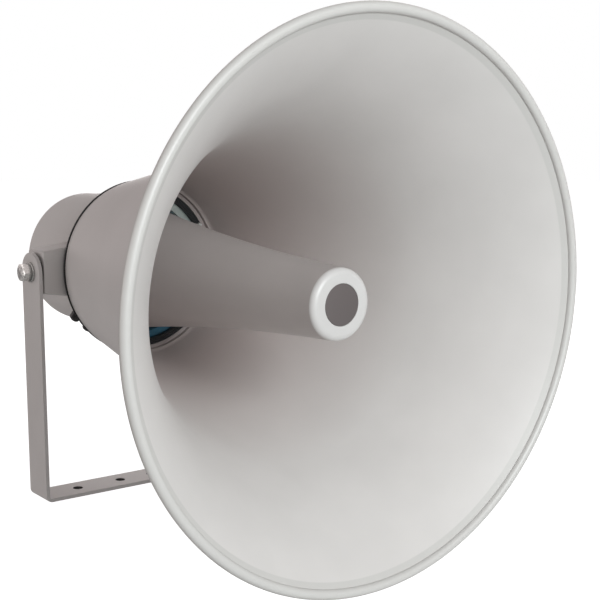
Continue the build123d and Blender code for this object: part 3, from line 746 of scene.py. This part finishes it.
# Pivot bolts. Hexagon bolts of zinc-plated steel with a chamfered head and a rolled thread. Each passes
# through an arm and screws into a trunnion block.
head_flats = 17 * MM
head_seat = 124.6 * MM
head_height = 6.4 * MM
shank_radius = 4.95 * MM
shank_tip = 88 * MM
thread_end = 112 * MM
thread_runout = 1 * MM
thread_count = 18
thread_depth = 0.55 * MM
thread_steps = 8
chamfer_start = 0.985
face_share = 0.92


def plated(name, colour=(0.78, 0.78, 0.76), roughness=0.3):
    """Zinc-plated steel: metal with a fine grain, cloudy passivation and an uneven gloss."""
    material, surface, place = shader(name, colour, roughness, 1.0)
    clouds = noise(material, place, 350, 3)
    shade = np.array(colour)
    tinted(material, surface, spread(material, clouds, 0, 1), tuple(shade * 0.78), tuple(shade * 1.08))
    gloss = spread(material, clouds, roughness - 0.08, roughness + 0.14)
    link(material, gloss, surface.inputs["Roughness"])
    bumped(material, surface, noise(material, place, 1600), 0.00002)
    return material


def hexagon_edge(flats, segments):
    """The turn of each point round a hexagon, and its radius there: half the flats over the cosine."""
    turn = np.linspace(0, 2 * np.pi, segments, endpoint=False)
    sector = np.mod(turn + np.pi / 6, np.pi / 3) - np.pi / 6
    return turn, flats / 2 / np.cos(sector)


def stacked(rings, turn):
    """Rings of radius and height, each a number or one value for each turn, as a grid of points."""
    grid = []
    for radius, height in rings:
        radius, height = np.broadcast_arrays(radius, height, turn)[:2]
        grid.append(np.stack([radius * np.cos(turn), radius * np.sin(turn), height], axis=-1))
    return np.stack(grid)


def hexagon_solid(flats, low, high, segments=144):
    """A hexagonal bar whose top is cut by a cone: the height falls where the edge passes the circle."""
    turn, edge = hexagon_edge(flats, segments)
    drop = np.maximum(edge - flats / 2 * chamfer_start, 0) * math.tan(math.radians(30))
    rings = [
        (0, low),
        (edge, low),
        (edge, high - drop - 0.25 * MM),
        (edge * chamfer_start, high - drop - 0.08 * MM),
        (flats / 2 * face_share, high),
        (0, high),
    ]
    return stacked(rings, turn)


bolt_zinc = plated("bolt_zinc")
thread_turns = np.arange(thread_count * thread_steps)
thread_height = np.linspace(shank_tip, thread_end, len(thread_turns))
thread_wave = shank_radius - thread_depth * (0.5 - 0.5 * np.cos(thread_turns * 2 * np.pi / thread_steps))
shank_profile = np.concatenate(
    [
        [(0, shank_tip)],
        np.stack([thread_wave, thread_height], axis=-1),
        [(shank_radius, thread_end + thread_runout), (shank_radius, head_seat), (0, head_seat)],
    ]
)
bolt_meshes = []
for angle in (0, 180):
    head = hexagon_solid(head_flats, head_seat, head_seat + head_height)
    bolt_meshes.append(sealed(surface_mesh("head", radial(head, angle, pivot_depth)), 25))
    bolt_meshes.append(spigot("shank", shank_profile, angle, pivot_depth, 48, 50))
piece("bolts", joined("bolts", bolt_meshes), bolt_zinc, "horn", "zinc_steel", "pivot_bolts")

# Washers. Under each bolt's head lie a spring washer, wound from square wire and cut through, and a plain
# washer pressed from sheet. Both are zinc plated.
washer_zinc = plated("washer_zinc", (0.50, 0.50, 0.485), 0.4)
spring_zinc = plated("spring_washer_zinc", (0.42, 0.42, 0.41), 0.42)
washer_bore = 5.1 * MM
washer_radius = 10.5 * MM
plain_seat = 120.1 * MM
plain_rear = 122.1 * MM
spring_bore = 5.2 * MM
spring_radius = 8.9 * MM
spring_wire = 2.3 * MM
spring_rise = 0.12 * MM
spring_seat = plain_rear + 0.1 * MM
plain_profile = rounded(
    [
        (washer_bore, plain_seat, 0.2 * MM),
        (washer_radius, plain_seat, 0.5 * MM),
        (washer_radius, plain_rear, 0.5 * MM),
        (washer_bore, plain_rear, 0.2 * MM),
    ]
)
plain_meshes = [spigot("washer", plain_profile, angle, pivot_depth, 96) for angle in (0, 180)]
plain_washers = joined("washers", plain_meshes)
piece("plain_washers_seen", plain_washers, washer_zinc, "horn", "zinc_steel", "plain_washers")


def spring_ring(angle):
    """A square wire wound once and cut: the section's height rises by a little over the turn."""
    turn = np.linspace(math.radians(6), math.radians(354), 120)
    rise = spring_rise * (turn / np.pi - 1)
    section = rounded(
        [
            (spring_bore, 0, 0.3 * MM),
            (spring_radius, 0, 0.4 * MM),
            (spring_radius, spring_wire, 0.4 * MM),
            (spring_bore, spring_wire, 0.3 * MM),
        ]
    )
    radius = section[None, :, 0]
    height = spring_seat + section[None, :, 1] + rise[:, None]
    body = np.stack([radius * np.cos(turn)[:, None], radius * np.sin(turn)[:, None], height], axis=-1)
    first = np.repeat(body[:1].mean(axis=1, keepdims=True), body.shape[1], axis=1)
    last = np.repeat(body[-1:].mean(axis=1, keepdims=True), body.shape[1], axis=1)
    grid = np.concatenate([first, body, last])
    return sealed(surface_mesh("spring", radial(grid, angle, pivot_depth), close_rows=False), 40)


spring_washers = joined("springs", [spring_ring(0), spring_ring(180)])
piece("spring_washers_seen", spring_washers, spring_zinc, "horn", "zinc_steel", "spring_washers")

# Spacers. Black fibre discs on the pivot bolts, between the trunnion blocks and the arms. Their near-black
# also stands in as painted shade for the dark gap between block and arm. They keep the coats from rubbing
# when the horn is tilted.


def finished(node, material):
    """Gives a CAD node's object a material in each of its slots."""
    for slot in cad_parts[node].material_slots:
        slot.material = material


# Near-black spacers: fibre discs, partly painted shade for the gap between block and arm.
finished("pivot_spacers", moulded("spacer_fibre", (0.02, 0.02, 0.021), 0.6))

# Glands. Two cable glands of black nylon low on the cover's left, screwed through its wall from outside.
# Each has a domed nut, and a rubber plug in place of a cable.
gland_black = moulded("gland_nylon", (0.014, 0.014, 0.015), 0.42)
plug_rubber = rubber("plug_rubber", rubber_black)
gland_flats = 11 * MM
nut_flats = 10 * MM
nut_bore = 2.2 * MM
gland_seat = 76.5 * MM
gland_top = 80 * MM
gland_end = 85 * MM
plug_radius = 2.1 * MM
plug_root = 74 * MM
plug_top = gland_end + 0.4 * MM


def domed_nut(flats, low, high, bore, segments=144):
    """A hexagon that blends upwards into a dome: the edge's share falls from one to nought with height."""
    turn, edge = hexagon_edge(flats, segments)
    waist = low + (high - low) * 0.55
    rings = [(bore, low), (edge, low), (edge, waist)]
    for swing in np.radians(np.linspace(0, 80, 9)):
        share = math.sin(swing)
        dome_edge = edge * (1 - share) + flats / 2 * 0.94 * share
        rings.append((dome_edge * (1 - 0.42 * (1 - math.cos(swing))), waist + (high - waist) * share))
    rings.append((bore, high))
    return stacked(rings, turn)


gland_meshes = []
nut_meshes = []
for angle in gland_angles:
    collar = hexagon_solid(gland_flats, gland_seat, gland_top)
    gland_meshes.append(sealed(surface_mesh("gland", radial(collar, angle, gland_depth)), 30))
    nut = domed_nut(nut_flats, gland_top, gland_end, nut_bore)
    nut_meshes.append(sealed(surface_mesh("nut", radial(nut, angle, gland_depth)), 30))
piece("glands", joined("glands", gland_meshes), gland_black, "horn", "black_plastic", "gland_bodies")
piece("domed_nuts", joined("domed_nuts", nut_meshes), gland_black, "horn", "black_plastic", "gland_nuts")
plug_profile = rounded(
    [(0, plug_root, 0), (plug_radius, plug_root, 0), (plug_radius, plug_top, 0.4 * MM), (0, plug_top, 0)]
)
plugs = [spigot("plug", plug_profile, angle, gland_depth, 48) for angle in gland_angles]
piece("plugs", joined("plugs", plugs), plug_rubber, "horn", "black_rubber", "gland_plugs")

# Bowl, spider and driver. The bowl, the throat tube and the spider that holds the cone are bare aluminium
# castings inside the bell's rear opening. The driver and its transformer sit behind them in the cover.
# Painted shade and painted reflection: the castings are dark blue low down and light grey at the top, for
# how light falls in the rear opening.
cast_lit_grey = (0.46, 0.52, 0.50)
cast_shade_blue = (0.03, 0.085, 0.125)
cast_heights = (190 * MM, 300 * MM)


def casting(name, low_colour, high_colour):
    """Bare cast aluminium with a fine sandy grain, painted dark low down and light at its top as painted
    shade and painted reflection.
    """
    material, surface, place = shader(name, high_colour, 0.34, 0.9)
    height = spread(material, parted(material, place)["Z"], 0, 1, *cast_heights)
    tinted(material, surface, height, low_colour, high_colour)
    bumped(material, surface, noise(material, place, 1400, 3), 0.00003)
    return material


bowl_cast = casting("bare_casting", cast_shade_blue, cast_lit_grey)
inner_zinc = plated("small_screw_zinc", (0.66, 0.66, 0.64), 0.3)
turned_steel = plated("turned_steel", (0.40, 0.40, 0.41), 0.38)
ferrite = moulded("ferrite", (0.035, 0.035, 0.038), 0.7)
copper = plated("enamelled_copper", (0.55, 0.24, 0.11), 0.36)
phenolic = moulded("resin_cloth", (0.16, 0.07, 0.03), 0.5)
inner_black = moulded("inner_black_plastic", (0.02, 0.02, 0.022), 0.5)
finishes = {
    "rear_bowl": bowl_cast,
    "throat_tube": bowl_cast,
    "cone_spider": bowl_cast,
    "driver_plate": bowl_cast,
    "cap_screw": inner_zinc,
    "spider_screws": inner_zinc,
    "cover_screws": inner_zinc,
    "cover_nuts": inner_zinc,
    "driver_screws": inner_zinc,
    "transformer_frame": inner_zinc,
    "frame_screws": inner_zinc,
    "terminal_screws": inner_zinc,
    "top_plate": turned_steel,
    "back_plate": turned_steel,
    "transformer_core": turned_steel,
    "magnet": ferrite,
    "voice_coil": copper,
    "transformer_winding": copper,
    "diaphragm": phenolic,
    "diaphragm_ring": phenolic,
    "phase_plug": inner_black,
    "terminal_block": inner_black,
    "gland_locknuts": inner_black,
}
for node, material in finishes.items():
    finished(node, material)

# Floor and background. A pale floor that keeps the object's soft shadow, and a white surround. The floor
# lies below the lowest place that the horn's rim reaches when it is tilted, and is clear from underneath.
floor_reach = 12.0
floor_level = -0.25
floor_pale = (0.62, 0.62, 0.62)
floor_glow = 0.93
surround_level = 0.19
mirrored_level = 0.75
surround_tint = (1.0, 0.91, 0.90)
floor_mesh = bpy.data.meshes.new("floor")
floor_mesh.from_pydata(
    [
        (-floor_reach, -floor_reach, floor_level),
        (floor_reach, -floor_reach, floor_level),
        (floor_reach, floor_reach, floor_level),
        (-floor_reach, floor_reach, floor_level),
    ],
    [],
    [(0, 1, 2, 3)],
)
floor = bpy.data.objects.new("floor", floor_mesh)
bpy.context.scene.collection.objects.link(floor)
floor_material, floor_surface = shader("pale_floor", floor_pale, 0.9)[:2]
floor_nodes = floor_material.node_tree.nodes
floor_surface.inputs["Specular IOR Level"].default_value = 0.0
floor_surface.inputs["Emission Color"].default_value = (1, 1, 1, 1)
floor_rays = floor_nodes.new("ShaderNodeLightPath")
glow = worked_out(floor_material, "MULTIPLY", floor_rays.outputs["Is Camera Ray"], floor_glow)
link(floor_material, glow.outputs["Value"], floor_surface.inputs["Emission Strength"])
underside = floor_nodes.new("ShaderNodeNewGeometry")
clear = floor_nodes.new("ShaderNodeBsdfTransparent")
one_sided = floor_nodes.new("ShaderNodeMixShader")
link(floor_material, underside.outputs["Backfacing"], one_sided.inputs["Fac"])
link(floor_material, floor_surface.outputs["BSDF"], one_sided.inputs[1])
link(floor_material, clear.outputs["BSDF"], one_sided.inputs[2])
link(floor_material, one_sided.outputs["Shader"], floor_nodes["Material Output"].inputs["Surface"])
floor_mesh.materials.append(floor_material)

surround = bpy.data.worlds.new("surround")
bpy.context.scene.world = surround
surround.use_nodes = True
sky = surround.node_tree.nodes["Background"]
rays = surround.node_tree.nodes.new("ShaderNodeLightPath")
mirrored = worked_out(surround, "MULTIPLY", rays.outputs["Is Glossy Ray"], mirrored_level)
seen = worked_out(surround, "MAXIMUM", rays.outputs["Is Camera Ray"], mirrored.outputs["Value"])
level = worked_out(surround, "MAXIMUM", seen.outputs["Value"], surround_level)
link(surround, level.outputs["Value"], sky.inputs["Strength"])
tint = mixed(surround, rays.outputs["Is Camera Ray"], surround_tint, (1, 1, 1))
link(surround, tint, sky.inputs["Color"])

# Light. A soft lamp stands in front of the mouth and above it, so that the throat stays dark. Two weaker
# and larger ones light the outside from the left and from behind on the right.


def lamp(name, place, target, size, power, colour):
    """A square area lamp at a place, turned towards a target, all in metres."""
    data = bpy.data.lights.new(name, "AREA")
    data.shape = "SQUARE"
    data.size = size
    data.energy = power
    data.color = colour
    thing = bpy.data.objects.new(name, data)
    bpy.context.scene.collection.objects.link(thing)
    back = np.array(place, float) - np.array(target, float)
    back = back / np.linalg.norm(back)
    side = np.cross([0, 0, 1], back)
    side = side / np.linalg.norm(side)
    up = np.cross(back, side)
    turn = Matrix.Identity(4)
    for column, axis in enumerate((side, up, back)):
        for line in range(3):
            turn[line][column] = axis[line]
    turn.translation = place
    thing.matrix_world = turn


lamp("key", (-0.3, -3.3, 1.24), (0, -0.3, 0.25), 1.2, 97, (0.94, 1.0, 1.005))
lamp("side", (-3.0, 1.1, 0.4), (0, -0.1, 0.25), 2.0, 30, (1.0, 0.95, 0.94))
lamp("back", (2.3, 2.4, 1.1), (0, -0.1, 0.25), 2.4, 24, (1.0, 0.965, 0.955))

# Camera. Its place and turn were found by fitting the rim, the cap, the gasket ring and the bracket to the
# photograph. The shift is kept small for the other views.
focal_pixels = 1165.1
image_pixels = 600.0
principal_right = -15.0
principal_down = 80.0
azimuth = math.radians(-37.412)
elevation = math.radians(12.154)
roll = math.radians(0.526)
camera_place = (-0.6393, -1.1138, 0.3919)

camera_data = bpy.data.cameras.new("camera")
camera_data.sensor_width = 36.0
camera_data.sensor_fit = "HORIZONTAL"
camera_data.lens = camera_data.sensor_width * focal_pixels / image_pixels
camera_data.shift_x = -principal_right / image_pixels
camera_data.shift_y = principal_down / image_pixels
camera_data.clip_start = 0.01
camera_data.clip_end = 60.0
camera = bpy.data.objects.new("camera", camera_data)
bpy.context.scene.collection.objects.link(camera)
back = np.array(
    [
        math.sin(azimuth) * math.cos(elevation),
        -math.cos(azimuth) * math.cos(elevation),
        math.sin(elevation),
    ]
)
level_side = np.array([math.cos(azimuth), math.sin(azimuth), 0.0])
level_up = np.cross(back, level_side)
camera_side = level_side * math.cos(roll) + level_up * math.sin(roll)
camera_up = level_up * math.cos(roll) - level_side * math.sin(roll)
camera_turn = Matrix.Identity(4)
for column, axis in enumerate((camera_side, camera_up, back)):
    for line in range(3):
        camera_turn[line][column] = axis[line]
camera_turn.translation = camera_place
camera.matrix_world = camera_turn
bpy.context.scene.camera = camera

bpy.context.scene.view_settings.view_transform = "Standard"
